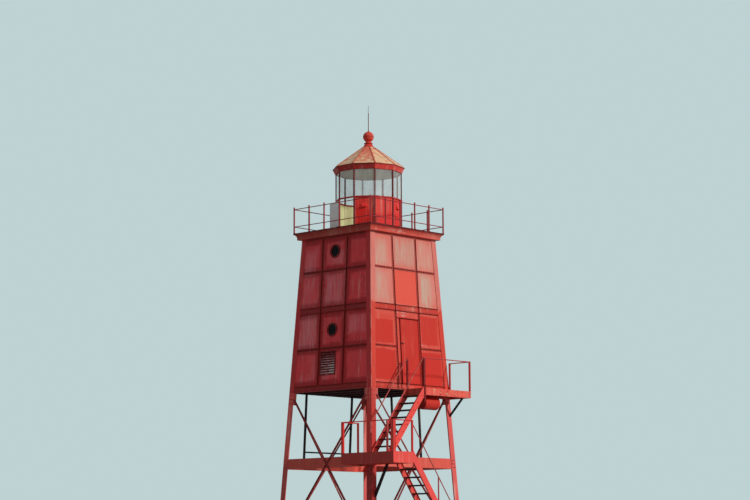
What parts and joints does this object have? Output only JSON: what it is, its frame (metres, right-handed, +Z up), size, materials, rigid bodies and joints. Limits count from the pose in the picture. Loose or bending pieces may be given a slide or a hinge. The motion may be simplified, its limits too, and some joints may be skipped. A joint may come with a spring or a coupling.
{
  "type": "steel skeleton lighthouse",
  "caption": "Square steel skeleton lighthouse with a plated upper body, gallery, ten-sided lantern, hinged door and outside stair.",
  "frame": {"origin": "on the ground under the tower axis, at the centre of the four base plates", "axes": "+Z up, the entrance door and stair at -Y, the lantern door at -X"},
  "size_m": [4.7988, 5.6198, 14.09],
  "materials": {
    "frame_red": "weathered paint",
    "girder_red": "weathered paint",
    "inner_paint": "weathered paint",
    "floor_steel": "weathered paint",
    "wall_red": "weathered paint",
    "strap_red": "weathered paint",
    "door_red": "weathered paint",
    "handle_iron": "weathered paint",
    "louvre_red": "weathered paint",
    "cove_red": "weathered paint",
    "deck_red": "weathered paint",
    "rail_red": "weathered paint",
    "lantern_red": "weathered paint",
    "parapet_red": "weathered paint",
    "grey_paint": "weathered paint",
    "ceiling_paint": "weathered paint",
    "roof_paint": "weathered paint",
    "stair_red": "weathered paint",
    "tread_steel": "weathered paint",
    "drum_red": "weathered paint",
    "port_glass": "clear",
    "lantern_glass": "clear"
  },
  "bodies": {
    "tower": {"base_plates": "frame_red", "leg_front_left": "frame_red", "leg_front_right": "frame_red", "leg_back_left": "frame_red", "leg_back_right": "frame_red", "girders": "girder_red", "front_braces": "frame_red", "right_braces": "frame_red", "back_braces": "frame_red", "left_braces": "frame_red", "gusset_plates": "frame_red", "hanger_posts": "frame_red", "floor_frame": "inner_paint", "lower_floor": "floor_steel", "middle_floor": "floor_steel", "front_wall_left": "wall_red", "front_wall_right": "wall_red", "front_wall_over_door": "wall_red", "left_wall": "wall_red", "back_wall": "wall_red", "right_wall": "wall_red", "wall_straps": "strap_red", "door_frame": "strap_red", "porthole_rings": "strap_red", "porthole_glass": "port_glass", "louvre": "louvre_red", "cove": "cove_red", "gallery_deck": "deck_red", "front_railing": "rail_red", "right_railing": "rail_red", "back_railing": "rail_red", "left_railing": "rail_red", "lantern_posts": "lantern_red", "parapet_panels": "parapet_red", "parapet_vents": "parapet_red", "lantern_sill": "lantern_red", "lantern_glass": "lantern_glass", "lantern_door": "grey_paint", "lantern_cornice": "lantern_red", "lantern_ceiling": "ceiling_paint", "roof": "roof_paint", "ball_ventilator": "lantern_red", "lightning_rod": "lantern_red", "upper_landing": "stair_red", "upper_rails": "rail_red", "upper_handrails": "rail_red", "upper_stringers": "stair_red", "upper_treads": "tread_steel", "lower_landing": "stair_red", "lower_rails": "rail_red", "lower_handrail": "rail_red", "lower_stringers": "stair_red", "lower_treads": "tread_steel", "knee_brace": "frame_red", "drum_shell": "drum_red", "drum_ends": "drum_red"},
    "door": {"door_leaf": "door_red", "door_handle": "handle_iron"}
  },
  "joints": [
    {"name": "door_hinge", "type": "hinge", "parent": "tower", "child": "door", "pos_m": [0.496, -1.59888, 6.2], "axis": [0, -0.0575, -0.9983], "range_deg": [0, 100]}
  ]
}
